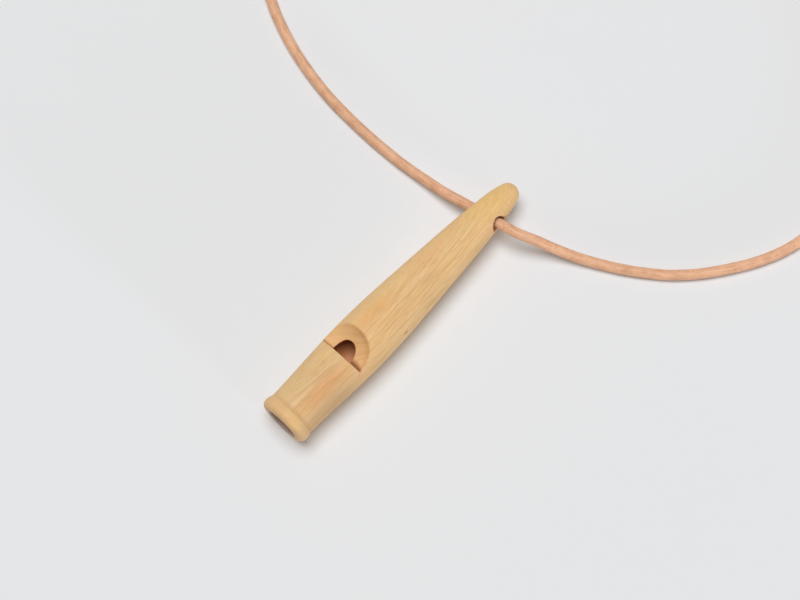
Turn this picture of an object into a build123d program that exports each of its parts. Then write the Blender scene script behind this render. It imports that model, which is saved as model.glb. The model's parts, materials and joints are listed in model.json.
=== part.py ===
"""Turned wooden bird call: an end-blown whistle that hangs on a round leather neck cord.

Millimetres, +Z up. +X runs along the whistle from its mouth to its tip. The origin lies on the
table under the middle of the whistle, so the belly of the whistle touches Z = 0.
"""
from build123d import *
import math
import os

# Turn of the whistle about its axis as it lies on the table, which leaves its window to one side
LIE_ROLL = 15.0

# Turned body, stations measured along its axis from the mouth
LENGTH = 91.6
LIP_D = 15.2
LIP_W = 3.8
LIP_ROUND = 1.7
NECK_D = 14.1
NECK_FLARE = 1.2
BELLY_D = 15.95
BELLY_AT = 30.3
FLANK_D = 13.35
FLANK_AT = 56.5
TIP_R = 3.1
TIP_BLEND = 18.5

# Bore, fipple plug and windway
BORE_D = 9.2
BORE_DEPTH = 58.0
DRILL_POINT = 118.0
BORE_EDGE = 0.3
PLUG_RECESS = 2.0
PLUG_GLUE_GAP = 0.01
WINDWAY_H = 1.2

# Window: a leaning saw cut and a cove across it that breaks into the bore
WINDOW_AT = 23.7
WALL_LEAN = 7.0
SCOOP_R = 9.5
SCOOP_BELOW_WINDWAY = 0.2
LABIUM_GAP = 4.8
WINDOW_EDGE = 0.2

# Cord eye across the tip, square to the window
EYE_FROM_TIP = 11.4
EYE_BODY_D = 9.4
EYE_SLACK = 1.6
EYE_ROUND = 0.35

# Leather cord and its coil, which is put away beside the whistle
CORD_D = 3.0
COIL_TURNS = 4
COIL_R = 19.0
TURN_GAP = 0.6
COIL_CENTRE = (64.0, 73.0)
COIL_START = 43.5
CLIMB_TURNS = 0.5
POINTS_A_TURN = 60

# Leather tie round the coil
TIE_T = 0.5
TIE_GAP = 0.3
TIE_W = 4.0

# Reef knot that joins the two ends of the cord
KNOT_CENTRE = (99.0, 52.7)
KNOT_HEADING = -61.5
KNOT_L = 14.0
KNOT_WRAP = 1.9
KNOT_CROWN = 1.7
KNOT_ROUND = 1.6
STRAND_GAP = 0.6
TAIL_LENGTH = 13.0
TAIL_DROP = 1.3
TAIL_SPLAY = 2.5

# Routes of the cord, as seen from the middle of the eye: X, Y and the height over the table
LIE = CORD_D / 2
ARC_SHARE = 0.45
LEFT_OUT = (-1.1, 8.6)
LEFT_ROUTE = [
    (-3.5, 18.6, 3.2), (-4.2, 29.0, 1.6), (-4.1, 43.5, LIE), (-3.4, 61.0, LIE), (1.5, 80.0, LIE),
    (10.0, 96.0, LIE), (20.3, 105.5, LIE), (33.0, 110.0, LIE), (46.5, 109.2, LIE), (58.5, 104.5, LIE),
]
LAST_RUN = 11.0
LINK_RUN = 10.0
RIGHT_OUT = (1.1, -8.6)
RIGHT_ROUTE = [
    (5.6, -18.0, 7.4), (10.9, -27.4, 2.8), (17.7, -39.4, LIE), (27.6, -51.7, LIE), (46.0, -64.0, LIE),
    (61.6, -67.7, LIE), (78.3, -63.5, LIE), (93.8, -52.3, LIE), (105.8, -38.8, LIE), (113.7, -22.3, LIE),
    (117.3, -4.4, LIE), (116.2, 13.5, LIE),
]
KNOT_RUN = 15.0

# Sizes that follow from these
EYE_AT = LENGTH - EYE_FROM_TIP
EYE_D = CORD_D + EYE_SLACK
COIL_PITCH = CORD_D + TURN_GAP
STRAND_SPACING = CORD_D + STRAND_GAP
KNOT_W = STRAND_SPACING + CORD_D + 2 * KNOT_WRAP
KNOT_H = CORD_D + 2 * KNOT_CROWN


def turned_outline():
    """Half outline of the body above its axis, from the mouth to the tip."""
    lip_r, neck_r = LIP_D / 2, NECK_D / 2
    blend = math.radians(TIP_BLEND)
    ball = LENGTH - TIP_R
    tip_start = (ball + TIP_R * math.sin(blend), TIP_R * math.cos(blend))
    face = Line((0, 0), (0, lip_r - LIP_ROUND))
    front = TangentArc((0, lip_r - LIP_ROUND), (LIP_ROUND, lip_r), tangent=(0, 1))
    crest = TangentArc((LIP_ROUND, lip_r), (LIP_W, neck_r), tangent=(1, 0))
    flare = math.radians(NECK_FLARE)
    side = Spline(
        (LIP_W, neck_r), (BELLY_AT, BELLY_D / 2), (FLANK_AT, FLANK_D / 2), (EYE_AT, EYE_BODY_D / 2), tip_start,
        tangents=((math.cos(flare), math.sin(flare)), (math.cos(blend), -math.sin(blend))),
    )
    tip = ThreePointArc(
        tip_start,
        (ball + TIP_R * math.cos((math.pi / 2 - blend) / 2), TIP_R * math.sin((math.pi / 2 - blend) / 2)),
        (LENGTH, 0),
    )
    axis = Line((LENGTH, 0), (0, 0))
    return make_face([face, front, crest, side, tip, axis])


def bore_outline():
    """Half outline of the blind drilled bore, with its broken edge at the mouth."""
    bore_r = BORE_D / 2
    point = bore_r / math.tan(math.radians(DRILL_POINT / 2))
    points = [(0, 0), (0, bore_r + BORE_EDGE), (BORE_EDGE, bore_r), (BORE_DEPTH, bore_r), (BORE_DEPTH + point, 0)]
    return make_face(Polyline(*points, close=True))


def beyond_wall():
    """Everything on the tip side of the leaning window wall."""
    side = 2 * LENGTH
    block = Box(side, side, side, align=(Align.MIN, Align.CENTER, Align.CENTER))
    return Pos(WINDOW_AT, 0, BORE_D / 2) * Rot(0, -WALL_LEAN, 0) * block


def scoop():
    """Drum that cuts the cove of the scoop, whose edge on the bore lies LABIUM_GAP beyond the wall."""
    bore_r = BORE_D / 2
    height = bore_r - WINDWAY_H - SCOOP_BELOW_WINDWAY + SCOOP_R
    reach = math.sqrt(SCOOP_R ** 2 - (height - bore_r) ** 2)
    return Pos(WINDOW_AT + LABIUM_GAP - reach, 0, height) * Rot(90, 0, 0) * Cylinder(SCOOP_R, 2 * BELLY_D)


def make_body():
    """Body turned from one blank, drilled from the mouth, cut for the window on top and pierced for the cord."""
    body = revolve(turned_outline(), Axis.X)
    eye = Pos(EYE_AT, 0, 0) * Rot(90, 0, 0) * Cylinder(EYE_D / 2, 2 * BELLY_D)
    body = body - eye
    rims = [edge for face in body.faces().filter_by(GeomType.CYLINDER) for edge in face.edges()]
    rims = [edge for edge in rims if abs(edge.center().Y) > EYE_D / 4]
    body = fillet(rims, EYE_ROUND)
    body = body - revolve(bore_outline(), Axis.X) - (scoop() & beyond_wall())
    wall = body.faces().filter_by(GeomType.PLANE).sort_by(Axis.X)[-1]
    hollow = body.faces().filter_by(GeomType.CYLINDER).sort_by(Axis.Z)[-1]
    window_rim = [face.edges().sort_by(Axis.Z)[-1] for face in (wall, hollow)]
    return chamfer(window_rim, WINDOW_EDGE)


def make_plug():
    """Fipple plug: a dowel in the bore, flattened on top for the windway and cut off at the window."""
    radius = BORE_D / 2 - PLUG_GLUE_GAP
    dowel = Pos(PLUG_RECESS, 0, 0) * Rot(0, 90, 0) * Cylinder(
        radius, BORE_DEPTH - PLUG_RECESS, align=(Align.CENTER, Align.CENTER, Align.MIN))
    side = 2 * LENGTH
    windway = Pos(0, 0, BORE_D / 2 - WINDWAY_H) * Box(
        side, side, side, align=(Align.CENTER, Align.CENTER, Align.MIN))
    return dowel - windway - beyond_wall()


def tube(path):
    """Round cord along a path, checked against its section times its length."""
    solid = sweep(Plane(origin=path @ 0, z_dir=path % 0) * Circle(CORD_D / 2), path=path)
    share = solid.volume / (math.pi * CORD_D ** 2 / 4 * path.length)
    print(f"  length {path.length:.1f} mm, volume over section times length {share:.4f}")
    return solid


def stretch(name, points):
    """Free stretch of cord: straight runs joined by arcs as large as the runs allow."""
    points = [Vector(*point) for point in points]
    runs = [after - before for before, after in zip(points, points[1:])]
    radii = []
    for before, after in zip(runs, runs[1:]):
        turn = math.radians(before.get_angle(after))
        radii.append(ARC_SHARE * min(before.length, after.length) / math.tan(turn / 2))
    print(name, "radii", [round(radius, 1) for radius in radii])
    return tube(FilletPolyline(*points, radius=radii))


def coil_place(turn):
    """Point of the coil's centreline after so many turns: in below, up a layer at the core, out above."""
    half = COIL_TURNS / 2
    low = CORD_D / 2 + TIE_GAP + TIE_T
    core = half - CLIMB_TURNS / 2
    wide = min(turn, COIL_TURNS - turn)
    inward = wide
    rise = 0.0 if turn < half else 1.0
    if wide > core:
        step = (turn - core) / CLIMB_TURNS
        inward = core + CLIMB_TURNS * step * (1 - step)
        rise = step * step * (3 - 2 * step)
    radius = COIL_R - COIL_PITCH * inward
    angle = math.radians(COIL_START) - 2 * math.pi * turn
    return Vector(radius * math.cos(angle), radius * math.sin(angle), low + COIL_PITCH * rise)


def coil_heading(turn):
    """Direction of the coil's centreline after so many turns."""
    small = 1e-5
    before = max(turn - small, 0)
    after = min(turn + small, COIL_TURNS)
    return (coil_place(after) - coil_place(before)).normalized()


def biarc(start, start_heading, end, end_heading):
    """Two arcs that join two points with the given headings."""
    span = end - start
    along = span.dot(start_heading + end_heading)
    bend = 2 * (1 - start_heading.dot(end_heading))
    reach = (math.sqrt(along ** 2 + bend * span.dot(span)) - along) / bend
    inner = start + start_heading * reach
    outer = end - end_heading * reach
    joint = (inner + outer) * 0.5
    first = Edge.make_tangent_arc(start, start_heading, joint)
    second = Edge.make_tangent_arc(joint, outer - inner, end)
    return [first, second]


def coil_path():
    """Unbroken centreline of the coil, by quarter turns, with a straight end of one cord diameter each way."""
    centre = Vector(*COIL_CENTRE, 0)
    quarters = [quarter / 4 for quarter in range(4 * COIL_TURNS + 1)]
    places = [centre + coil_place(turn) for turn in quarters]
    headings = [coil_heading(turn) for turn in quarters]
    edges = [Edge.make_line(places[0] - headings[0] * CORD_D, places[0])]
    for index in range(len(quarters) - 1):
        edges += biarc(places[index], headings[index], places[index + 1], headings[index + 1])
    edges.append(Edge.make_line(places[-1], places[-1] + headings[-1] * CORD_D))
    return Wire(edges)


def coil_gap(path):
    """Least clear distance between two parts of the coil that lie over a quarter turn apart."""
    count = POINTS_A_TURN * COIL_TURNS
    points = [path @ (index / count) for index in range(count + 1)]
    apart = POINTS_A_TURN // 4
    pairs = ((a, b) for a in range(count + 1) for b in range(a + apart, count + 1))
    return min((points[a] - points[b]).length for a, b in pairs) - CORD_D


def make_tie():
    """Strip of leather round the bundle of turns, on the side of the coil away from its ends."""
    wide = coil_place(0.5)
    narrow = coil_place(1.5)
    outward = Vector(wide.X, wide.Y, 0).normalized()
    outer_r = wide.dot(outward) + CORD_D / 2 + TIE_GAP
    inner_r = narrow.dot(outward) - CORD_D / 2 - TIE_GAP
    height = COIL_PITCH + CORD_D + 2 * TIE_GAP
    middle = Vector(*COIL_CENTRE, TIE_T + height / 2) + outward * ((outer_r + inner_r) / 2)
    corner = CORD_D / 2 + TIE_GAP
    outside = RectangleRounded(outer_r - inner_r + 2 * TIE_T, height + 2 * TIE_T, corner + TIE_T)
    inside = RectangleRounded(outer_r - inner_r, height, corner)
    across = Plane(origin=middle, x_dir=outward, z_dir=outward.cross(Vector(0, 0, 1)))
    return extrude(across * (outside - inside), amount=TIE_W / 2, both=True)


def knot_frame():
    """Plane through the middle of the knot: X along the cord, Z up."""
    heading = math.radians(KNOT_HEADING)
    middle = Vector(*KNOT_CENTRE, KNOT_H / 2)
    return Plane(origin=middle, x_dir=(math.cos(heading), math.sin(heading), 0), z_dir=(0, 0, 1))


def make_knot():
    """Reef knot that joins the two ends of the cord, as a rounded lump with its two short tails."""
    lump = Box(KNOT_L, KNOT_W, KNOT_H)
    lump = fillet(lump.edges(), KNOT_ROUND)
    half = KNOT_L / 2
    side = -STRAND_SPACING / 2
    for way in (-1, 1):
        start = Vector(way * (half - CORD_D), side, 0)
        end = Vector(way * (half + TAIL_LENGTH), side - TAIL_SPLAY, -TAIL_DROP)
        lump = lump + Plane(origin=start, z_dir=end - start) * Cylinder(
            CORD_D / 2, (end - start).length, align=(Align.CENTER, Align.CENTER, Align.MIN))
    return knot_frame() * lump


def into_knot(way, run):
    """Last run of a stretch that ends in the knot's left (-1) or right (+1) end."""
    half = KNOT_L / 2
    places = [Vector(way * (half + run), STRAND_SPACING / 2, 0), Vector(way * half, STRAND_SPACING / 2, 0)]
    return [knot_frame().from_local_coords(place) for place in places]


whistle = make_body()
axis_height = -whistle.bounding_box().min.Z
whistle_place = Pos(-LENGTH / 2, 0, axis_height) * Rot(-LIE_ROLL, 0, 0)
cord_place = Pos(EYE_AT - LENGTH / 2, 0, 0)

through_eye = Vector(0, 0, axis_height)
eye_slope = math.tan(math.radians(LIE_ROLL))
left_out, right_out = [Vector(x, y, axis_height - y * eye_slope) for x, y in (LEFT_OUT, RIGHT_OUT)]
coil_line = coil_path()
into_coil = [coil_line @ 0 - (coil_line % 0) * LAST_RUN, coil_line @ 0]
out_of_coil = [coil_line @ 1, coil_line @ 1 + (coil_line % 1) * LINK_RUN]

whistle_parts = {
    "whistle_body": whistle,
    "fipple_plug": make_plug(),
}
cord_parts = {
    "cord_left_stretch": stretch("left", [through_eye, left_out, *LEFT_ROUTE, *into_coil]),
    "cord_coil": tube(coil_line),
    "cord_link_stretch": stretch("link", [*out_of_coil, *into_knot(-1, LINK_RUN)]),
    "cord_right_stretch": stretch("right", [through_eye, right_out, *RIGHT_ROUTE, *into_knot(1, KNOT_RUN)]),
    "cord_knot": make_knot(),
    "coil_tie": make_tie(),
}
print(f"coil: least gap to itself {coil_gap(coil_line):.2f} mm")

os.makedirs("parts", exist_ok=True)
for parts, place in ((whistle_parts, whistle_place), (cord_parts, cord_place)):
    for name, solid in parts.items():
        placed = place * solid
        placed.label = name
        export_step(placed, f"parts/{name}.step")
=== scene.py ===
"""Looks of a turned wooden bird call on a round leather neck cord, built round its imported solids.

Metres, +Z up, in the frame of the solids: +X runs along the whistle from its mouth to its tip, and the
origin lies on the table under the middle of the whistle.
"""

import json
import logging
import math
from dataclasses import dataclass
from enum import Enum, IntEnum

import bmesh
import bpy
from mathutils import Matrix, Vector, noise


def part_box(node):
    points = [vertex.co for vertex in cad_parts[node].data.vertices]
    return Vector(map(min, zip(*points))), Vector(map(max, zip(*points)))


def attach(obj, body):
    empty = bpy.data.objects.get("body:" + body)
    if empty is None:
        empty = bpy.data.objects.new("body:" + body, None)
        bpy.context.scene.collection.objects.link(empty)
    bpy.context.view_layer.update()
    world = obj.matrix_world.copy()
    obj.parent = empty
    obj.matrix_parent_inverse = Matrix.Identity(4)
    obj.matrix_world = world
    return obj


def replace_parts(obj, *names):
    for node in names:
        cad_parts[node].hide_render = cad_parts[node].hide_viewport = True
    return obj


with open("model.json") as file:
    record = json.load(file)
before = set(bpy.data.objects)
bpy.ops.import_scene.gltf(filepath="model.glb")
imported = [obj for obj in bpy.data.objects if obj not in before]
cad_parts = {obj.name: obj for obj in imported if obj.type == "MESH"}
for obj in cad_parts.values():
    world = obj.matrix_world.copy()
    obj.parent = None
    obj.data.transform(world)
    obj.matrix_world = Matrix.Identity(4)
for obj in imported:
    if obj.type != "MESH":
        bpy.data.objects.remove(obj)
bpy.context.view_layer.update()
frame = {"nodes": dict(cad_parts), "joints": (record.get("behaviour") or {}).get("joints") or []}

MM = 0.001
CORD_DIAMETER = 3.0 * MM
SWIVEL = frame["joints"][0]
EYE = Vector(SWIVEL["pos_m"])
MOUTH_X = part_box("whistle_body")[0].x
log = logging.getLogger("bird_call")

Point = tuple[float, float, float]
Route = tuple[Point, ...]
Colour = tuple[float, float, float, float]
Socket = bpy.types.NodeSocket
Value = float | Point | Colour | Socket


class Body(Enum):
    """Bodies of the part that new pieces ride on."""

    CORD = "cord"


class Slot(Enum):
    """Material slots of the part's record."""

    WOOD = "turned_wood"
    PLUG = "plug_wood"
    LEATHER = "leather"


class Lay(Enum):
    """Ways that a strand of the cord lies."""

    LOOSE = "loose"
    COILED = "coiled"


class End(IntEnum):
    """Ends of the knot, by the strand that enters there."""

    LEFT = -1
    RIGHT = 1


def tint(red: float, green: float, blue: float) -> Colour:
    """Colour of full cover from three linear shares."""
    return (red, green, blue, 1.0)


def on_table(point: Point) -> Vector:
    """Place of a point that is measured in millimetres from the table under the eye."""
    return Vector((EYE.x, EYE.y, 0)) + Vector(point) * MM


class NodeSheet:
    """Adds nodes to one node tree and links what feeds them."""

    NUMBER_SUMS = ("DOT_PRODUCT", "LENGTH", "DISTANCE")
    # The mix node's colour sockets share their names with others, so they go by number.
    MIX_FIRST = 6
    MIX_SECOND = 7
    MIX_RESULT = 2

    def __init__(self, tree: bpy.types.NodeTree) -> None:
        """Start on an empty tree."""
        self.tree = tree
        tree.nodes.clear()

    def feed(self, socket: Socket, value: Value) -> None:
        """Link a socket to another one, or set it to a number or a colour.

        Args:
            socket: The socket to feed.
            value: What feeds it.
        """
        if isinstance(value, Socket):
            self.tree.links.new(value, socket)
        else:
            socket.default_value = value

    def node(self, kind: str, inputs: dict[str | int, Value], **settings: object) -> bpy.types.Node:
        """Add a node.

        Args:
            kind: Blender's name of the node, without its prefix.
            inputs: What feeds each of its sockets, by name or number.
            settings: Its other settings.

        Returns:
            The node.
        """
        made = self.tree.nodes.new("ShaderNode" + kind)
        for name, setting in settings.items():
            setattr(made, name, setting)
        for name, value in inputs.items():
            self.feed(made.inputs[name], value)
        return made

    def maths(self, operation: str, *values: Value) -> Socket:
        """Result of one sum on numbers."""
        return self.node("Math", dict(enumerate(values)), operation=operation).outputs[0]

    def product(self, *values: Value) -> Socket:
        """Product of two or more numbers.

        Args:
            values: The numbers.

        Returns:
            Their product.
        """
        result = values[0]
        for value in values[1:]:
            result = self.maths("MULTIPLY", result, value)
        return result

    def vectors(self, operation: str, *values: Value) -> Socket:
        """Result of one sum on vectors, a number or a vector as the sum gives it."""
        outputs = self.node("VectorMath", dict(enumerate(values)), operation=operation).outputs
        return outputs["Value" if operation in self.NUMBER_SUMS else "Vector"]

    def split(self, place: Value) -> tuple[Socket, Socket, Socket]:
        """Coordinates of a place along X, Y and Z."""
        return tuple(self.node("SeparateXYZ", {0: place}).outputs)

    def joined(self, **parts: Value) -> Socket:
        """Vector of its X, Y and Z, each 0 where it isn't given."""
        return self.node("CombineXYZ", parts).outputs[0]

    def measured(self, place: Value, sizes: Point) -> Socket:
        """Place counted in steps of a size along each axis."""
        scale = tuple(1 / size for size in sizes)
        return self.node("Mapping", {"Vector": place, "Scale": scale}).outputs[0]

    def ramp(self, value: Value, low: float, high: float, start: float = 0.0, end: float = 1.0) -> Socket:
        """Smooth step of a value.

        Args:
            value: What is stepped.
            low: Where the step starts.
            high: Where the step ends.
            start: Result up to low.
            end: Result from high on.

        Returns:
            The stepped value.
        """
        inputs = {"Value": value, "From Min": low, "From Max": high, "To Min": start, "To Max": end}
        return self.node("MapRange", inputs, interpolation_type="SMOOTHSTEP").outputs[0]

    def blend(self, share: Value, first: Value, second: Value) -> Socket:
        """Colour between two others.

        Args:
            share: How much of the second colour shows.
            first: Colour at a share of 0.
            second: Colour at a share of 1.

        Returns:
            The mixed colour.
        """
        inputs = {0: share, self.MIX_FIRST: first, self.MIX_SECOND: second}
        return self.node("Mix", inputs, data_type="RGBA").outputs[self.MIX_RESULT]


@dataclass(frozen=True)
class Step:
    """Smooth step of a share: where it starts and ends, and the share before and after."""

    low: float
    high: float
    start: float = 0.0
    end: float = 1.0

    def at(self, sheet: NodeSheet, value: Value) -> Socket:
        """Share at a value."""
        return sheet.ramp(value, self.low, self.high, self.start, self.end)


@dataclass(frozen=True)
class Pattern:
    """Noise from 0 to 1: the size of its lumps, its finer detail, and the step that sharpens it."""

    lump: Point
    detail: float = 2.0
    roughness: float = 0.5
    step: Step = Step(0.0, 1.0)

    def smooth(self, sheet: NodeSheet, place: Value) -> Socket:
        """Noise as it comes.

        Args:
            sheet: The sheet that it is read on.
            place: Where it is read.

        Returns:
            The noise, from 0 to 1.
        """
        inputs = {
            "Vector": sheet.measured(place, self.lump),
            "Scale": 1.0,
            "Detail": self.detail,
            "Roughness": self.roughness,
        }
        return sheet.node("TexNoise", inputs).outputs["Fac"]

    def sharp(self, sheet: NodeSheet, place: Value) -> Socket:
        """Noise at a place, sharpened by the step."""
        return self.step.at(sheet, self.smooth(sheet, place))


@dataclass(frozen=True)
class PhotoCamera:
    """Camera at the place that the photograph was taken from."""

    azimuth: float = -46.46
    elevation: float = 75.0
    distance: float = 700.0 * MM
    aim: Point = (2.314 * MM, 2.144 * MM, 0.0)
    lens: float = 115.24
    nearest: float = 10.0 * MM

    def place(self) -> None:
        """Make the camera and give it to the scene."""
        turn = math.radians(self.azimuth)
        rise = math.radians(self.elevation)
        back = Vector((math.sin(turn) * math.cos(rise), -math.cos(turn) * math.cos(rise), math.sin(rise)))
        camera = bpy.data.objects.new("photo_camera", bpy.data.cameras.new("photo_camera"))
        camera.data.lens = self.lens
        camera.data.clip_start = self.nearest
        camera.location = Vector(self.aim) + back * self.distance
        camera.rotation_mode = "QUATERNION"
        camera.rotation_quaternion = (-back).to_track_quat("-Z", "Y")
        bpy.context.scene.collection.objects.link(camera)
        bpy.context.scene.camera = camera


@dataclass(frozen=True)
class Lamp:
    """Broad distant lamp, its tilt from overhead and its bearing in degrees."""

    name: str
    light: float
    spread: float
    tilt: float
    comes_from: float
    colour: Point = (1.0, 1.0, 1.0)

    def hang(self) -> None:
        """Make the lamp."""
        lamp = bpy.data.objects.new(self.name, bpy.data.lights.new(self.name, "SUN"))
        lamp.data.energy = self.light
        lamp.data.color = self.colour
        lamp.data.angle = math.radians(self.spread)
        tilt = math.radians(self.tilt)
        turn = math.radians(self.comes_from)
        towards = Vector((math.sin(tilt) * math.cos(turn), math.sin(tilt) * math.sin(turn), math.cos(tilt)))
        lamp.rotation_mode = "QUATERNION"
        lamp.rotation_quaternion = (-towards).to_track_quat("-Z", "Y")
        bpy.context.scene.collection.objects.link(lamp)


@dataclass(frozen=True)
class Studio:
    """Pale table under a broad overhead lamp, with low fills from both sides and an even room."""

    floor_tone: Colour = tint(0.79, 0.79, 0.79)
    floor_glow: float = 0.08
    floor_size: float = 8.0
    room_light: Colour = tint(0.225, 0.198, 0.174)
    lamps: tuple[Lamp, ...] = (
        Lamp(
            "overhead_lamp", light=2.42, spread=35.0, tilt=8.2, comes_from=83.0, colour=(0.962, 1.006, 1.05),
        ),
        Lamp("right_fill", light=1.1, spread=8.0, tilt=85.0, comes_from=-90.0, colour=(0.94, 1.0, 1.1)),
        Lamp("left_fill", light=0.1, spread=8.0, tilt=85.0, comes_from=90.0),
    )

    def build(self) -> None:
        """Make the floor, the lamps and the room."""
        bpy.context.scene.view_settings.view_transform = "Standard"
        self.make_floor()
        for lamp in self.lamps:
            lamp.hang()
        self.make_room()

    @staticmethod
    def seen(sheet: NodeSheet) -> Socket:
        """Tell what is looked at from what only lights.

        Args:
            sheet: The sheet of a material or of the world.

        Returns:
            1 for what the camera, a gloss or a clear piece sees, and 0 for what only lights.
        """
        ray = sheet.node("LightPath", {}).outputs
        mirrored = sheet.maths("MAXIMUM", ray["Is Glossy Ray"], ray["Is Transmission Ray"])
        return sheet.maths("MAXIMUM", ray["Is Camera Ray"], mirrored)

    def make_floor(self) -> None:
        """Wide flat floor that the object lies on."""
        shape = bmesh.new()
        bmesh.ops.create_grid(shape, x_segments=1, y_segments=1, size=self.floor_size / 2)
        mesh = bpy.data.meshes.new("floor")
        shape.to_mesh(mesh)
        shape.free()
        floor = bpy.data.objects.new("floor", mesh)
        bpy.context.scene.collection.objects.link(floor)
        paint = bpy.data.materials.new("pale_table")
        paint.use_nodes = True
        sheet = NodeSheet(paint.node_tree)
        matt = sheet.node("BsdfPrincipled", {
            "Base Color": self.floor_tone,
            "Roughness": 1.0,
            "Specular IOR Level": 0.0,
        })
        glow = sheet.node("Emission", {"Color": self.floor_tone, "Strength": 1.0})
        share = sheet.product(self.seen(sheet), self.floor_glow)
        surface = sheet.node("MixShader", {0: share, 1: matt.outputs[0], 2: glow.outputs[0]})
        sheet.node("OutputMaterial", {"Surface": surface.outputs[0]})
        mesh.materials.append(paint)

    def make_room(self) -> None:
        """Even light from the room, which looks as pale as the floor."""
        room = bpy.data.worlds.new("pale_room")
        bpy.context.scene.world = room
        room.use_nodes = True
        sheet = NodeSheet(room.node_tree)
        light = sheet.blend(self.seen(sheet), self.room_light, self.floor_tone)
        surface = sheet.node("Background", {"Color": light, "Strength": 1.0})
        sheet.node("OutputWorld", {"Surface": surface.outputs[0]})


@dataclass(frozen=True)
class GrainGroup:
    """Shared effect: long grain of close wood, with growth layers, fibres, broad stains and mottling."""

    OUTPUTS = ("Layers", "Fibres", "Stains", "Mottle")
    name: str = "long_grain"
    layer_tilt: float = 38.0
    layer_sway: float = 2.4 * MM
    sway: Pattern = Pattern((60.0 * MM, 14.0 * MM, 14.0 * MM), detail=1.0)
    layers: Pattern = Pattern((11.0 * MM, 0.36 * MM, 1.0), 3.0, 0.55, Step(0.40, 0.62))
    fibres: Pattern = Pattern((2.6 * MM, 0.24 * MM, 0.24 * MM), 2.0, 0.6, Step(0.50, 0.74))
    stains: Pattern = Pattern((24.0 * MM, 7.0 * MM, 7.0 * MM), 2.0, 0.5, Step(0.46, 0.70))
    mottle: Pattern = Pattern((8.0 * MM, 2.4 * MM, 2.4 * MM), 1.0, 0.5, Step(0.42, 0.66))

    def build(self) -> bpy.types.NodeTree:
        """Make the group.

        Returns:
            The group, with Layers, Fibres, Stains and Mottle from 0 to 1 for a place on the wood.
        """
        group = bpy.data.node_groups.new(self.name, "ShaderNodeTree")
        group.interface.new_socket("Place", in_out="INPUT", socket_type="NodeSocketVector")
        for name in self.OUTPUTS:
            group.interface.new_socket(name, in_out="OUTPUT", socket_type="NodeSocketFloat")
        sheet = NodeSheet(group)
        place = group.nodes.new("NodeGroupInput").outputs["Place"]
        shares = (
            self.layers.sharp(sheet, self.layer_place(sheet, place)),
            self.fibres.sharp(sheet, place),
            self.stains.sharp(sheet, place),
            self.mottle.sharp(sheet, place),
        )
        out = group.nodes.new("NodeGroupOutput")
        for name, share in zip(self.OUTPUTS, shares):
            sheet.feed(out.inputs[name], share)
        return group

    def layer_place(self, sheet: NodeSheet, place: Value) -> Socket:
        """Place among the growth layers, which sway a little.

        Args:
            sheet: The group's sheet.
            place: Place on the wood.

        Returns:
            The place along the layers and across them.
        """
        tilt = math.radians(self.layer_tilt)
        across = (0.0, math.sin(tilt), math.cos(tilt))
        depth = sheet.vectors("DOT_PRODUCT", place, across)
        depth = sheet.maths("MULTIPLY_ADD", self.sway.smooth(sheet, place), self.layer_sway, depth)
        along, _, _ = sheet.split(place)
        return sheet.joined(X=along, Y=depth)


@dataclass
class GrainedWood:
    """Wood in the making: its material and sheet, the place on it, its grain, and its colour so far."""

    material: bpy.types.Material
    sheet: NodeSheet
    place: Socket
    layers: Socket
    fibres: Socket
    colour: Value

    def lay(self, share: Value, colour: Value) -> None:
        """Lay a share of another colour over the wood."""
        self.colour = self.sheet.blend(share, self.colour, colour)

    def across(self) -> Socket:
        """Distance to the left of the whistle's upright middle plane."""
        return self.sheet.split(self.place)[1]

    def from_mouth(self) -> Socket:
        """Distance along the whistle from its mouth."""
        return self.sheet.maths("SUBTRACT", self.sheet.split(self.place)[0], MOUTH_X)

    def from_axis(self) -> Socket:
        """Distance from the whistle's axis."""
        _, across, height = self.sheet.split(self.place)
        return self.sheet.vectors("DISTANCE", self.sheet.joined(Y=across, Z=height), (0.0, 0.0, EYE.z))


@dataclass(frozen=True)
class Patch:
    """Soft patch of another colour: its middle in millimetres from the mouth on the axis, and its reach."""

    middle: Point
    reach: Point
    colour: Colour
    share: float
    core: float = 0.15

    def lay(self, wood: GrainedWood) -> None:
        """Lay the patch over the wood.

        Args:
            wood: The wood so far.
        """
        sheet = wood.sheet
        middle = Vector((MOUTH_X, 0, EYE.z)) + Vector(self.middle) * MM
        offset = sheet.vectors("SUBTRACT", wood.place, tuple(middle))
        away = sheet.vectors("LENGTH", sheet.measured(offset, tuple(size * MM for size in self.reach)))
        wood.lay(sheet.ramp(away, self.core, 1.0, self.share, 0.0), self.colour)


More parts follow.
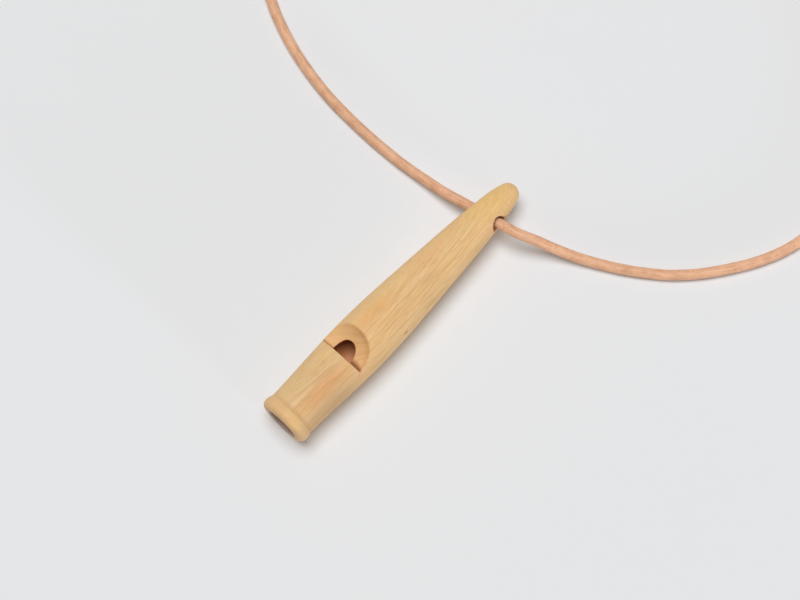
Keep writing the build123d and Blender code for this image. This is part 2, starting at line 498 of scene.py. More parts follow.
@dataclass(frozen=True)
class WoodFinish:
    """Close-grained wood: its colours, how much of each shows, where its layers fade, and its gloss."""

    name: str
    pale: Colour
    warm: Colour
    tan: Colour
    stain: Colour
    fibre: Colour
    warm_share: float
    layer_share: float
    stain_share: float
    fibre_share: float
    roughness: float
    gloss: float
    layers_across: Step = Step(-0.5 * MM, 4.0 * MM, 1.0, 0.15)
    layers_at_lip: Step = Step(2.5 * MM, 5.0 * MM, 0.25, 1.0)
    layers_at_tip: Step = Step(58.0 * MM, 84.0 * MM, 1.0, 0.5)
    rougher: float = 0.12
    soft_edge: float = 0.16 * MM
    edge_samples: int = 6
    bump: float = 0.5
    relief: float = 0.05 * MM

    def start(self, grain: bpy.types.NodeTree, patches: tuple[Patch, ...] = ()) -> GrainedWood:
        """Make the material, with its patches under its grain.

        Args:
            grain: The shared grain group.
            patches: Patches of another colour.

        Returns:
            The wood, to lay more on.
        """
        material = bpy.data.materials.new(self.name)
        material.use_nodes = True
        sheet = NodeSheet(material.node_tree)
        place = sheet.node("TexCoord", {}).outputs["Object"]
        figure = sheet.node("Group", {}, node_tree=grain)
        sheet.feed(figure.inputs["Place"], place)
        layers, fibres, stains, mottle = (figure.outputs[name] for name in GrainGroup.OUTPUTS)
        wood = GrainedWood(material, sheet, place, layers, fibres, self.pale)
        wood.lay(sheet.product(mottle, self.warm_share), self.warm)
        for patch in patches:
            patch.lay(wood)
        wood.lay(sheet.product(layers, self.layers_seen(wood)), self.tan)
        wood.lay(sheet.product(stains, self.stain_share), self.stain)
        wood.lay(sheet.product(fibres, self.fibre_share), self.fibre)
        return wood

    def layers_seen(self, wood: GrainedWood) -> Socket:
        """Share of the growth layers that shows.

        Args:
            wood: The wood so far.

        Returns:
            The share, which is less on the left, at the lip and towards the tip.
        """
        sheet = wood.sheet
        along = wood.from_mouth()
        across = self.layers_across.at(sheet, wood.across())
        at_tip = self.layers_at_tip.at(sheet, along)
        at_lip = self.layers_at_lip.at(sheet, along)
        return sheet.product(across, self.layer_share, at_tip, at_lip)

    def shade(self, wood: GrainedWood, height: Value) -> None:
        """Shade the wood.

        Args:
            wood: The wood, with all its colours on.
            height: Its fine relief, from 0 to 1.
        """
        sheet = wood.sheet
        soft = sheet.node("Bevel", {"Radius": self.soft_edge}, samples=self.edge_samples).outputs[0]
        bump = sheet.node("Bump", {
            "Strength": self.bump,
            "Distance": self.relief,
            "Height": height,
            "Normal": soft,
        })
        surface = sheet.node("BsdfPrincipled", {
            "Base Color": wood.colour,
            "Roughness": sheet.ramp(height, 0.0, 1.0, self.roughness, self.roughness + self.rougher),
            "Specular IOR Level": self.gloss,
            "Normal": bump.outputs[0],
        })
        sheet.node("OutputMaterial", {"Surface": surface.outputs[0]})


@dataclass(frozen=True)
class WindowCut:
    """The sound window: a leaning wall, and a cove that is cut across with a drum."""

    wall_at: float = 23.7 * MM
    wall_lean: float = 7.0
    roll: float = 15.0
    bore_radius: float = 4.6 * MM
    windway: float = 1.2 * MM
    labium_gap: float = 4.8 * MM
    drum_radius: float = 9.5 * MM
    drum_below_windway: float = 0.2 * MM
    drum_skin: Step = Step(-0.12 * MM, 0.36 * MM, 1.0, 0.0)
    wall_skin: Step = Step(-0.12 * MM, -0.06 * MM)
    upper_half: Step = Step(0.0, 0.12 * MM)

    def upward(self) -> Vector:
        """Direction from the axis to the middle of the window."""
        roll = math.radians(self.roll)
        return Vector((0, math.sin(roll), math.cos(roll)))

    def drum_centre(self) -> Point:
        """Middle of the drum.

        Returns:
            Its distance from the mouth, and its height over the axis.
        """
        over_bore = self.drum_radius - self.windway - self.drum_below_windway
        reach = math.sqrt(self.drum_radius ** 2 - over_bore ** 2)
        return (self.wall_at + self.labium_gap - reach, self.bore_radius + over_bore, 0.0)

    def past_wall(self, wood: GrainedWood) -> Socket:
        """Distance beyond the wall.

        Args:
            wood: The wood so far.

        Returns:
            The distance, under 0 before the wall.
        """
        lean = math.radians(self.wall_lean)
        facing = Vector((math.cos(lean), 0, 0)) + self.upward() * math.sin(lean)
        foot = Vector((MOUTH_X + self.wall_at, 0, EYE.z)) + self.upward() * self.bore_radius
        past = wood.sheet.vectors("DOT_PRODUCT", wood.place, tuple(facing))
        return wood.sheet.maths("SUBTRACT", past, foot.dot(facing))

    def scooped(self, wood: GrainedWood) -> Socket:
        """Share of fresh cut.

        Args:
            wood: The wood so far.

        Returns:
            1 on the cove and on the wall, and 0 elsewhere.
        """
        sheet = wood.sheet
        upward = self.upward()
        rise = sheet.vectors("DOT_PRODUCT", wood.place, tuple(upward))
        rise = sheet.maths("SUBTRACT", rise, EYE.z * upward.z)
        section = sheet.joined(X=wood.from_mouth(), Y=rise)
        reach = sheet.vectors("DISTANCE", section, self.drum_centre())
        drum = self.drum_skin.at(sheet, sheet.maths("SUBTRACT", reach, self.drum_radius))
        beyond = self.wall_skin.at(sheet, self.past_wall(wood))
        above = self.upper_half.at(sheet, rise)
        return sheet.product(drum, beyond, above)


@dataclass(frozen=True)
class CoveFinish:
    """Newly cut wood of the cove, partly painted light that lifts the shade in the cove, and its darker
    border, which is fainter on the left.
    """

    # Newly cut tones, both painted lighter to offset the shade that falls in the cove.
    fresh_and_lit: Colour = tint(0.86, 0.47, 0.19)
    line: Colour = tint(0.74, 0.385, 0.15)
    line_share: float = 0.6
    share: float = 0.6
    border: Colour = tint(0.60, 0.27, 0.10)
    border_from_axis: Step = Step(6.3 * MM, 7.75 * MM, 0.0, 0.5)
    border_across: Step = Step(0.0, 4.0 * MM, 1.0, 0.2)

    def lay(self, wood: GrainedWood, scooped: Value) -> None:
        """Lay the finish over the wood.

        Args:
            wood: The wood so far.
            scooped: Share of fresh cut.
        """
        sheet = wood.sheet
        # The cove's tone is partly painted light against its own shade.
        cut = sheet.blend(sheet.product(wood.layers, self.line_share), self.fresh_and_lit, self.line)
        wood.lay(sheet.product(scooped, self.share), cut)
        border = self.border_from_axis.at(sheet, wood.from_axis())
        right = self.border_across.at(sheet, wood.across())
        wood.lay(sheet.product(scooped, border, right), self.border)


@dataclass(frozen=True)
class CreaseShade:
    """Painted shade at the foot of the window's wall: a soft brown edge and a dark core, both narrower at
    the sides.
    """

    width: float = 2.1 * MM
    right_width: Step = Step(-7.5 * MM, -3.5 * MM, 0.35, 1.0)
    left_width: Step = Step(-2.0 * MM, 3.0 * MM, 1.0, 0.45)
    paler: Step = Step(-1.0 * MM, 4.0 * MM, 1.0, 0.6)
    soft_shade_depth: Step = Step(0.5, 1.0, 1.0, 0.0)
    core_depth: Step = Step(0.25, 0.6, 1.0, 0.0)
    # Colours of the painted shade in the corner at the wall's foot.
    soft_shade: Colour = tint(0.50, 0.205, 0.065)
    core: Colour = tint(0.21, 0.06, 0.014)

    def lay(self, wood: GrainedWood, scooped: Value, past_wall: Value) -> None:
        """Lay the painted shade over the wood.

        Args:
            wood: The wood so far.
            scooped: Share of fresh cut.
            past_wall: Distance beyond the wall.
        """
        sheet = wood.sheet
        across = wood.across()
        right = self.right_width.at(sheet, across)
        left = self.left_width.at(sheet, across)
        width = sheet.product(sheet.maths("MINIMUM", left, right), self.width)
        depth = sheet.maths("DIVIDE", past_wall, width)
        share = sheet.product(scooped, self.paler.at(sheet, across))
        # Painted shade: a soft brown edge, then a dark core against the wall.
        wood.lay(sheet.product(share, self.soft_shade_depth.at(sheet, depth)), self.soft_shade)
        wood.lay(sheet.product(share, self.core_depth.at(sheet, depth)), self.core)


@dataclass(frozen=True)
class GrooveShade:
    """Painted shade in the groove behind the lip, fainter on the lit left side."""

    # Colour of the painted shade in the groove.
    colour: Colour = tint(0.55, 0.31, 0.135)
    at: float = 4.0 * MM
    depth: Step = Step(0.0, 0.95 * MM, 0.7, 0.0)
    across: Step = Step(-3.0 * MM, 5.0 * MM, 1.0, 0.4)

    def lay(self, wood: GrainedWood) -> None:
        """Lay the painted shade over the wood.

        Args:
            wood: The wood so far.
        """
        sheet = wood.sheet
        away = sheet.maths("ABSOLUTE", sheet.maths("SUBTRACT", wood.from_mouth(), self.at))
        share = sheet.product(self.depth.at(sheet, away), self.across.at(sheet, wood.across()))
        wood.lay(share, self.colour)


@dataclass(frozen=True)
class DrilledFinish:
    """Drilled wood in the bore and in the eye, and grey painted shade just inside the mouth."""

    bored: Colour = tint(0.60, 0.23, 0.09)
    pierced: Colour = tint(0.56, 0.25, 0.11)
    # Grey painted shade on the bore's wall just inside the mouth.
    mouth_shade: Colour = tint(0.43, 0.335, 0.30)
    eye_radius: float = 2.3 * MM
    bore_skin: Step = Step(0.03 * MM, 0.12 * MM, 1.0, 0.0)
    bore_end: Step = Step(-12.0 * MM, -11.0 * MM, 1.0, 0.0)
    eye_skin: Step = Step(0.03 * MM, 0.24 * MM, 1.0, 0.0)
    mouth_skin: Step = Step(0.3 * MM, 0.42 * MM, 1.0, 0.0)
    mouth_depth: Step = Step(0.3 * MM, 2.2 * MM, 1.0, 0.0)

    def lay(self, wood: GrainedWood, bore_radius: float) -> None:
        """Lay the drilled wood and the painted shade at the mouth over the rest.

        Args:
            wood: The wood so far.
            bore_radius: Radius of the bore.
        """
        sheet = wood.sheet
        offset = sheet.vectors("SUBTRACT", wood.place, tuple(EYE))
        before_eye = self.bore_end.at(sheet, sheet.split(offset)[0])
        past_bore = sheet.maths("SUBTRACT", wood.from_axis(), bore_radius)
        wood.lay(sheet.product(self.bore_skin.at(sheet, past_bore), before_eye), self.bored)
        from_eye = sheet.vectors("LENGTH", sheet.vectors("CROSS_PRODUCT", offset, tuple(SWIVEL["axis"])))
        past_eye = sheet.maths("SUBTRACT", from_eye, self.eye_radius)
        wood.lay(self.eye_skin.at(sheet, past_eye), self.pierced)
        # Grey painted shade just inside the mouth.
        at_mouth = self.mouth_depth.at(sheet, wood.from_mouth())
        wood.lay(sheet.product(self.mouth_skin.at(sheet, past_bore), at_mouth), self.mouth_shade)


@dataclass
class Whistle:
    """The turned body and the plug in its mouth."""

    window: WindowCut = WindowCut()
    cove: CoveFinish = CoveFinish()
    crease: CreaseShade = CreaseShade()
    groove: GrooveShade = GrooveShade()
    drilled: DrilledFinish = DrilledFinish()
    body_wood: WoodFinish = WoodFinish(
        name="oiled_turned_wood",
        pale=tint(0.786, 0.516, 0.235),
        warm=tint(0.79, 0.475, 0.235),
        tan=tint(0.555, 0.31, 0.125),
        stain=tint(0.74, 0.435, 0.175),
        fibre=tint(0.53, 0.285, 0.105),
        warm_share=0.55,
        layer_share=0.62,
        stain_share=0.45,
        fibre_share=0.42,
        roughness=0.5,
        gloss=0.35,
    )
    plug_wood: WoodFinish = WoodFinish(
        name="raw_plug_wood",
        pale=tint(0.50, 0.285, 0.13),
        warm=tint(0.46, 0.24, 0.10),
        tan=tint(0.38, 0.20, 0.085),
        stain=tint(0.42, 0.22, 0.09),
        fibre=tint(0.28, 0.14, 0.06),
        warm_share=0.4,
        layer_share=0.6,
        stain_share=0.5,
        fibre_share=0.4,
        roughness=0.62,
        gloss=0.25,
    )
    patches: tuple[Patch, ...] = (
        Patch((11.0, 2.0, 5.0), (17.0, 9.0, 9.0), tint(0.70, 0.475, 0.22), 0.8),
        Patch((12.0, -6.0, 3.0), (16.0, 5.5, 7.5), tint(0.50, 0.31, 0.142), 0.8),
        Patch((14.0, -2.4, 6.8), (14.0, 4.2, 4.2), tint(0.71, 0.355, 0.14), 0.8),
        Patch((38.0, 1.6, 7.6), (12.5, 4.0, 4.0), tint(0.81, 0.45, 0.165), 0.85),
        Patch((51.0, -2.4, 6.0), (17.0, 2.6, 3.6), tint(0.64, 0.405, 0.175), 0.55),
        Patch((58.0, 2.5, 6.0), (12.0, 3.0, 3.0), tint(0.79, 0.45, 0.20), 0.55),
        Patch((82.0, 1.5, 3.5), (15.0, 6.0, 6.0), tint(0.80, 0.515, 0.18), 0.75),
        Patch((1.6, 3.0, 6.0), (2.6, 7.0, 5.0), tint(0.745, 0.435, 0.21), 0.6),
    )
    fleck: Patch = Patch((40.7, -7.24, 2.65), (1.0, 0.45, 0.45), tint(0.26, 0.14, 0.07), 0.9)
    layer_relief: float = 0.5
    fibre_relief: float = 0.5

    def dress(self, grain: bpy.types.NodeTree) -> None:
        """Give the body and the plug their wood."""
        self.dress_node("whistle_body", self.make_body_wood(grain), Slot.WOOD)
        self.dress_node("fipple_plug", self.make_plug_wood(grain), Slot.PLUG)

    @staticmethod
    def dress_node(node: str, wood: bpy.types.Material, slot: Slot) -> None:
        """Put a material on a solid of the frame.

        Args:
            node: Name of the solid.
            wood: Its material.
            slot: Its slot in the record; not used.
        """
        solid = frame["nodes"][node]
        solid.data.materials.clear()
        solid.data.materials.append(wood)
        log.info("%s dressed in %s", node, wood.name)

    def make_body_wood(self, grain: bpy.types.NodeTree) -> bpy.types.Material:
        """Make the wood of the body, with the marks of its cuts, and painted shade at the foot of its
        window's wall, behind its lip and inside its mouth.

        Args:
            grain: The shared grain group.

        Returns:
            The material.
        """
        wood = self.body_wood.start(grain, self.patches)
        self.fleck.lay(wood)
        # Painted shade in the groove behind the lip.
        self.groove.lay(wood)
        scooped = self.window.scooped(wood)
        self.cove.lay(wood, scooped)
        # Painted shade at the foot of the window's wall.
        self.crease.lay(wood, scooped, self.window.past_wall(wood))
        self.drilled.lay(wood, self.window.bore_radius)
        fine = wood.sheet.product(wood.fibres, self.fibre_relief)
        height = wood.sheet.maths("MULTIPLY_ADD", wood.layers, self.layer_relief, fine)
        self.body_wood.shade(wood, height)
        return wood.material

    def make_plug_wood(self, grain: bpy.types.NodeTree) -> bpy.types.Material:
        """Make the raw wood of the plug.

        Args:
            grain: The shared grain group.

        Returns:
            The material.
        """
        wood = self.plug_wood.start(grain)
        self.plug_wood.shade(wood, wood.fibres)
        return wood.material


@dataclass(frozen=True)
class LeatherFinish:
    """Natural vegetable-tanned leather with fine fibres along the cord and small flecks."""

    name: str = "natural_leather"
    light: Colour = tint(0.82, 0.465, 0.275)
    dark: Colour = tint(0.63, 0.315, 0.175)
    fleck: Colour = tint(0.38, 0.175, 0.10)
    fibres: Pattern = Pattern((5.0 * MM, 0.35 * MM, 0.35 * MM), 3.0, 0.6)
    mottle: Pattern = Pattern((3.2 * MM, 3.2 * MM, 3.2 * MM), 3.0, 0.6)
    specks: Pattern = Pattern((0.55 * MM, 0.55 * MM, 0.55 * MM), 2.0, 0.6, Step(0.63, 0.73, 0.0, 0.7))
    fibre_share: float = 0.6
    darker: Step = Step(0.38, 0.66)
    roughness: Step = Step(0.3, 0.7, 0.5, 0.65)
    gloss: float = 0.4
    sheen: float = 0.12
    sheen_roughness: float = 0.5
    bump: float = 0.6
    relief: float = 0.09 * MM

    def build(self) -> bpy.types.Material:
        """Make the material.

        Returns:
            The material, which reads the place along and across a cord from its attribute.
        """
        leather = bpy.data.materials.new(self.name)
        leather.use_nodes = True
        sheet = NodeSheet(leather.node_tree)
        place = sheet.node("Attribute", {}, attribute_name=LeatherTube.PLACE).outputs["Vector"]
        spot = sheet.node("TexCoord", {}).outputs["Object"]
        fibres = self.fibres.smooth(sheet, place)
        specks = self.specks.smooth(sheet, spot)
        shade = self.mixed(sheet, fibres, self.mottle.smooth(sheet, spot))
        colour = sheet.blend(self.darker.at(sheet, shade), self.light, self.dark)
        colour = sheet.blend(self.specks.step.at(sheet, specks), colour, self.fleck)
        height = self.mixed(sheet, fibres, specks)
        bump = sheet.node("Bump", {"Strength": self.bump, "Distance": self.relief, "Height": height})
        surface = sheet.node("BsdfPrincipled", {
            "Base Color": colour,
            "Roughness": self.roughness.at(sheet, shade),
            "Specular IOR Level": self.gloss,
            "Sheen Weight": self.sheen,
            "Sheen Roughness": self.sheen_roughness,
            "Normal": bump.outputs[0],
        })
        sheet.node("OutputMaterial", {"Surface": surface.outputs[0]})
        return leather

    def mixed(self, sheet: NodeSheet, fibres: Value, lumps: Value) -> Socket:
        """Share of fibres and, for the rest, of lumps."""
        rest = sheet.product(lumps, 1 - self.fibre_share)
        return sheet.maths("MULTIPLY_ADD", fibres, self.fibre_share, rest)


def break_edges(shape: bmesh.types.BMesh, edges: list[bmesh.types.BMEdge], offset: float) -> None:
    """Round some edges of a shape, over the offset on each side."""
    bmesh.ops.bevel(shape, geom=edges, offset=offset, affect="EDGES", segments=2, profile=0.5, material=-1)


@dataclass
class LeatherTube:
    """Round leather cord along a route of control points."""

    PLACE = "cord_place"
    name: str
    points: list[Vector]
    radius: float = CORD_DIAMETER / 2
    spline_order: int = 3
    steps: int = 10
    ring_quarter: int = 5
    unevenness: float = 0.05 * MM
    lump: float = 2.6 * MM
    cut_edge: float = 0.25 * MM

    def curve(self) -> bpy.types.Curve:
        """Smooth line of the cord.

        Returns:
            The line, as a curve without thickness.
        """
        line = bpy.data.curves.new(self.name, "CURVE")
        line.dimensions = "3D"
        spline = line.splines.new("NURBS")
        spline.points.add(len(self.points) - 1)
        for control, point in zip(spline.points, self.points):
            control.co = (*point, 1.0)
        spline.order_u = self.spline_order
        spline.use_endpoint_u = True
        spline.resolution_u = self.steps
        return line

    @staticmethod
    def as_mesh(line: bpy.types.Curve) -> bpy.types.Mesh:
        """Mesh of a curve as it stands.

        Args:
            line: The curve.

        Returns:
            The mesh.
        """
        holder = bpy.data.objects.new(line.name, line)
        bpy.context.scene.collection.objects.link(holder)
        graph = bpy.context.evaluated_depsgraph_get()
        mesh = bpy.data.meshes.new_from_object(holder.evaluated_get(graph), depsgraph=graph)
        bpy.data.objects.remove(holder)
        return mesh

    def build(self) -> tuple[bpy.types.Mesh, list[Vector]]:
        """Make the cord's skin.

        Returns:
            Its mesh, and the points of its centre line.
        """
        line = self.curve()
        bare = self.as_mesh(line)
        path = [vertex.co.copy() for vertex in bare.vertices]
        line.bevel_depth = self.radius
        line.bevel_resolution = self.ring_quarter
        mesh = self.as_mesh(line)
        self.roughen(mesh, path)
        self.close(mesh)
        bpy.data.meshes.remove(bare)
        bpy.data.curves.remove(line)
        return mesh, path

    def roughen(self, mesh: bpy.types.Mesh, path: list[Vector]) -> None:
        """Make the skin a little uneven, and write the place along and across the cord on it.

        Args:
            mesh: The tube, ring by ring.
            path: Its centre line, a point to a ring.
        """
        sides = len(mesh.vertices) // len(path)
        places = mesh.attributes.new(self.PLACE, "FLOAT_VECTOR", "POINT")
        along = 0.0
        for ring, centre in enumerate(path):
            if ring:
                along += (centre - path[ring - 1]).length
            for side in range(sides):
                vertex = mesh.vertices[ring * sides + side]
                angle = math.tau * side / sides
                place = (along, self.radius * math.cos(angle), self.radius * math.sin(angle))
                places.data[vertex.index].vector = place
                swell = noise.noise(vertex.co / self.lump) * self.unevenness
                vertex.co += (vertex.co - centre).normalized() * swell

    def close(self, mesh: bpy.types.Mesh) -> None:
        """Close the two cut ends of the cord, with broken edges.

        Args:
            mesh: The open tube.
        """
        shape = bmesh.new()
        shape.from_mesh(mesh)
        rims = [edge for edge in shape.edges if edge.is_boundary]
        bmesh.ops.holes_fill(shape, edges=rims, sides=0)
        break_edges(shape, rims, self.cut_edge)
        bmesh.ops.recalc_face_normals(shape, faces=shape.faces)
        shape.to_mesh(mesh)
        shape.free()
        mesh.shade_smooth()


def add_leather(name: str, mesh: bpy.types.Mesh, leather: bpy.types.Material) -> bpy.types.Object:
    """Put a piece of leather in the scene, on the cord's body.

    Args:
        name: Its name.
        mesh: Its shape.
        leather: Its material.

    Returns:
        The piece.
    """
    mesh.materials.clear()
    mesh.materials.append(leather)
    piece = bpy.data.objects.new(name, mesh)
    bpy.context.scene.collection.objects.link(piece)
    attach(piece, Body.CORD.value)
    log.info("%s has %d faces", name, len(mesh.polygons))
    return piece


@dataclass(frozen=True)
class CordCoil:
    """Put-away turns of the cord in two layers, with its middle in millimetres from under the eye."""

    turns: int = 4
    points_a_turn: int = 16
    radius: float = 19.0 * MM
    pitch: float = 3.6 * MM
    centre: Point = (64.0, 73.0, 0.0)
    start: float = 43.5
    lift: float = 2.3 * MM
    climb_turns: float = 0.5
    small_turn: float = 1e-4

    def place(self, turn: float) -> Vector:
        """Point of the coil after so many turns: in below, up a layer at the core, out above.

        Args:
            turn: Turns from the start of the coil.

        Returns:
            The point.
        """
        half = self.turns / 2
        core = half - self.climb_turns / 2
        inward = min(turn, self.turns - turn)
        rise = float(turn >= half)
        if inward > core:
            step = (turn - core) / self.climb_turns
            inward = core + self.climb_turns * step * (1 - step)
            rise = step * step * (3 - 2 * step)
        radius = self.radius - self.pitch * inward
        angle = math.radians(self.start) - math.tau * turn
        height = self.lift + self.pitch * rise
        return on_table(self.centre) + Vector((radius * math.cos(angle), radius * math.sin(angle), height))

    def points(self) -> list[Vector]:
        """Control points of the turns.

        Returns:
            The points, which stand outside the line that they bend.
        """
        outwards = 1 / math.cos(math.pi / self.points_a_turn)
        centre = on_table(self.centre)
        count = self.turns * self.points_a_turn
        places = [self.place(step / self.points_a_turn) for step in range(count + 1)]
        for place in places[1:-1]:
            place.x = centre.x + (place.x - centre.x) * outwards
            place.y = centre.y + (place.y - centre.y) * outwards
        return places

    def heading(self, turn: float) -> Vector:
        """Direction of the coil after so many turns.

        Args:
            turn: Turns from the start of the coil.

        Returns:
            The direction.
        """
        before = max(turn - self.small_turn, 0.0)
        after = min(turn + self.small_turn, float(self.turns))
        return (self.place(after) - self.place(before)).normalized()


@dataclass(frozen=True)
class ReefKnot:
    """Reef knot of the cord's two ends: its middle and one half's route in millimetres, and its tails."""

    centre: Point = (99.0, 52.7, 0.0)
    heading: float = -61.5
    length: float = 14.0 * MM
    height: float = 6.4 * MM
    strand_gap: float = 3.6 * MM
    lead_in: float = 1.5 * MM
    tail_length: float = 13.0 * MM
    tail_splay: float = 2.5 * MM
    tail_drop: float = 1.3 * MM
    steps: int = 14
    half: Route = (
        (-5.5, 1.6, 1.5), (-4.5, 1.9, 1.9), (-2.8, 1.1, 1.05), (-0.6, 1.55, -1.85),
        (0.95, 4.1, -1.65), (4.8, 3.7, 1.45), (4.65, 1.9, 1.75),
    )

    def placing(self) -> Matrix:
        """Place of the knot: X along the cord, Z up."""
        middle = on_table(self.centre) + Vector((0, 0, self.height / 2))
        return Matrix.Translation(middle) @ Matrix.Rotation(math.radians(self.heading), 4, "Z")

    def into(self, end: End, run: float) -> list[Vector]:
        """Last run of a strand that goes into the knot.

        Args:
            end: The end that it goes into.
            run: Length of the run.

        Returns:
            The two points of the run.
        """
        face = self.length / 2
        side = self.strand_gap / 2
        return [self.placing() @ Vector((end * away, side, 0)) for away in (face + run, face)]

    def half_points(self, end: End) -> list[Vector]:
        """Control points of the half of the knot that enters at one end.

        Args:
            end: The left end, or the right end, whose half is the left one turned half over.

        Returns:
            The points, from where the strand enters to the end of its tail.
        """
        face = self.length / 2
        side = self.strand_gap / 2
        start = Vector((-face - self.lead_in, side, 0))
        going = [Vector((-face, side, 0)), *(Vector(point) * MM for point in self.half)]
        coming = [Vector((point.x, -point.y, point.z)) for point in reversed(going)]
        tail = Vector((-face - self.tail_length, -side - self.tail_splay, end * self.tail_drop))
        points = [start, *going, *coming, tail]
        return [self.placing() @ Vector((-end * point.x, point.y, -end * point.z)) for point in points]

    def build(self, leather: bpy.types.Material) -> bpy.types.Object:
        """Make the knot.

        Args:
            leather: Its material.

        Returns:
            The knot, which stands for its solid.
        """
        whole = bmesh.new()
        for end in End:
            mesh, _ = LeatherTube(f"knot_half_{end.name}", self.half_points(end), steps=self.steps).build()
            whole.from_mesh(mesh)
            bpy.data.meshes.remove(mesh)
        mesh = bpy.data.meshes.new("reef_knot")
        whole.to_mesh(mesh)
        whole.free()
        knot = add_leather("reef_knot", mesh, leather)
        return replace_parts(knot, "cord_knot")


@dataclass(frozen=True)
class CoilTie:
    """Strip of leather round the turns of the coil, with its end laid over its start."""

    end_size: Point = (7.0 * MM, 3.2 * MM, 0.5 * MM)
    end_back: float = 2.1 * MM
    end_lift: float = 0.2 * MM
    end_dip: float = 7.0
    end_edge: float = 0.15 * MM
    strip_edge: float = 0.12 * MM
    square_turn: float = 60.0
    same_place: float = 0.001 * MM

    def build(self, coil_start: float, leather: bpy.types.Material) -> bpy.types.Object:
        """Make the tie.

        Args:
            coil_start: Bearing of the coil's ends from its middle, opposite the tie.
            leather: Its material.

        Returns:
            The tie, which stands for its solid.
        """
        shape = bmesh.new()
        shape.from_mesh(frame["nodes"]["coil_tie"].data)
        bmesh.ops.remove_doubles(shape, verts=shape.verts, dist=self.same_place)
        self.round_edges(shape, shape.edges[:], self.strip_edge)
        low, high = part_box("coil_tie")
        top = Matrix.Translation(Vector(((low.x + high.x) / 2, (low.y + high.y) / 2, high.z)))
        top = top @ Matrix.Rotation(math.radians(coil_start) - math.pi, 4, "Z")
        self.add_end(shape, top)
        self.order_faces(shape)
        mesh = bpy.data.meshes.new("leather_tie")
        shape.to_mesh(mesh)
        shape.free()
        self.mark_places(mesh, top.inverted())
        tie = add_leather("leather_tie", mesh, leather)
        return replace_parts(tie, "coil_tie")

    def add_end(self, shape: bmesh.types.BMesh, top: Matrix) -> None:
        """Lay the end of the strip over its start.

        Args:
            shape: The strip.
            top: Middle of the strip's top, with X across the turns.
        """
        dip = Matrix.Rotation(math.radians(-self.end_dip), 4, "Y")
        middle = Matrix.Translation(Vector((-self.end_back, 0, self.end_lift)))
        size = Matrix.Diagonal((*self.end_size, 1.0))
        end = bmesh.ops.create_cube(shape, size=1.0, matrix=top @ dip @ middle @ size)
        corners = set(end["verts"])
        edges = [edge for edge in shape.edges if corners.issuperset(edge.verts)]
        self.round_edges(shape, edges, self.end_edge)

    @staticmethod
    def order_faces(shape: bmesh.types.BMesh) -> None:
        """Put the faces in the order of their corners, because bevel leaves them in a chance order.

        Args:
            shape: The tie.
        """
        shape.verts.index_update()
        count = len(shape.verts)

        def rank(face: bmesh.types.BMFace) -> float:
            """Number of a face, from its three lowest corners."""
            first, second, third, *_ = sorted(vertex.index for vertex in face.verts)
            return float((first * count + second) * count + third)

        shape.faces.sort(key=rank)

    @staticmethod
    def mark_places(mesh: bpy.types.Mesh, flat: Matrix) -> None:
        """Write the place along and across the strip on it.

        Args:
            mesh: The tie.
            flat: Turn to the frame of the strip's top.
        """
        places = mesh.attributes.new(LeatherTube.PLACE, "FLOAT_VECTOR", "POINT")
        for vertex in mesh.vertices:
            spot = flat @ vertex.co
            places.data[vertex.index].vector = (spot.x - spot.z, spot.y, spot.z)

    def round_edges(self, shape: bmesh.types.BMesh, edges: list[bmesh.types.BMEdge], offset: float) -> None:
        """Break the square edges among some edges of a shape.

        Args:
            shape: The shape.
            edges: The edges to look at.
            offset: How far the broken edge reaches.
        """
        square = [edge for edge in edges if edge.calc_face_angle(0.0) > math.radians(self.square_turn)]
        break_edges(shape, square, offset)


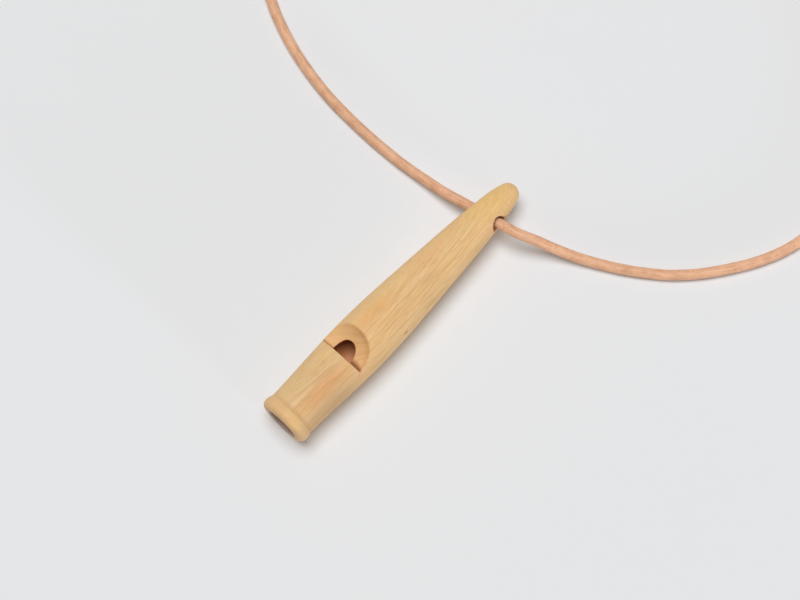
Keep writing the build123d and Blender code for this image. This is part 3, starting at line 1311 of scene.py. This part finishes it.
@dataclass
class NeckCord:
    """The leather cord: two strands from the eye, with routes in millimetres from the table under it."""

    diameter: float = CORD_DIAMETER
    coil: CordCoil = CordCoil()
    tie: CoilTie = CoilTie()
    knot: ReefKnot = ReefKnot()
    in_eye: Point = (0.0, 0.0, 7.6)
    left_exit: Point = (-0.6, 4.7, 6.35)
    left_route: Route = (
        (-1.4, 8.3, 5.5), (-2.3, 13.5, 4.0), (-2.9, 20.4, 2.3), (-3.9, 29.1, 1.5), (-4.4, 43.3, 1.5),
        (-3.4, 61.0, 1.5), (1.5, 80.0, 1.5), (10.0, 96.0, 1.5), (20.3, 105.5, 1.5), (33.0, 110.0, 1.5),
        (46.5, 109.2, 1.5), (58.5, 104.5, 1.5),
    )
    right_exit: Point = (0.6, -4.7, 8.85)
    right_route: Route = (
        (0.9, -8.5, 9.7), (3.7, -13.4, 7.5), (6.9, -19.7, 3.8), (10.7, -27.5, 1.8), (17.6, -39.5, 1.5),
        (27.6, -51.7, 1.5), (46.0, -64.0, 1.5), (61.6, -67.7, 1.5), (78.3, -63.5, 1.5), (93.8, -52.3, 1.5),
        (105.8, -38.8, 1.5), (113.7, -22.3, 1.5), (117.3, -4.4, 1.5), (116.2, 13.5, 1.5),
    )
    coil_run: float = 11.0 * MM
    link_run: float = 10.0 * MM
    knot_run: float = 15.0 * MM

    def left_points(self) -> list[Vector]:
        """Control points of the left strand.

        Returns:
            The points, from the eye through the coil to the knot.
        """
        turns = self.coil.points()
        entering = self.coil.heading(0.0)
        leaving = self.coil.heading(float(self.coil.turns))
        before = [turns[0] - entering * (self.diameter + self.coil_run), turns[0] - entering * self.diameter]
        after = turns[-1] + leaving * (self.diameter + self.link_run)
        start = [on_table(point) for point in (self.in_eye, *self.left_route)]
        return [*start, *before, *turns, after, *self.knot.into(End.LEFT, self.link_run)]

    def right_points(self) -> list[Vector]:
        """Control points of the right strand, to the knot."""
        start = [on_table(point) for point in (self.in_eye, *self.right_route)]
        return [*start, *self.knot.into(End.RIGHT, self.knot_run)]

    def build(self, leather: bpy.types.Material) -> None:
        """Make the knot, the tie and the strands, and hide the solids that they stand for.

        Args:
            leather: Their material.
        """
        knot = self.knot.build(leather)
        self.tie.build(self.coil.start, leather)
        points = self.left_points()
        left = self.make_strand("cord_left", points, leather)
        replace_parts(left, "cord_left_stretch", "cord_coil", "cord_link_stretch")
        points = self.right_points()
        right = self.make_strand("cord_right", points, leather)
        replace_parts(right, "cord_right_stretch")

    def make_strand(self, name: str, points: list[Vector],
                    leather: bpy.types.Material) -> bpy.types.Object:
        """Make one strand of the cord, from the middle of the eye to the knot.

        Args:
            name: Its name.
            points: Its control points.
            leather: Its material.

        Returns:
            The strand.
        """
        mesh, path = LeatherTube(name, points).build()
        strand = add_leather(name, mesh, leather)
        return strand


def main() -> None:
    """Dress the bird call and set it on its table."""
    logging.basicConfig(level=logging.INFO)
    PhotoCamera().place()
    Studio().build()
    NeckCord().build(LeatherFinish().build())
    Whistle().dress(GrainGroup().build())


if __name__ == "__main__":
    main()
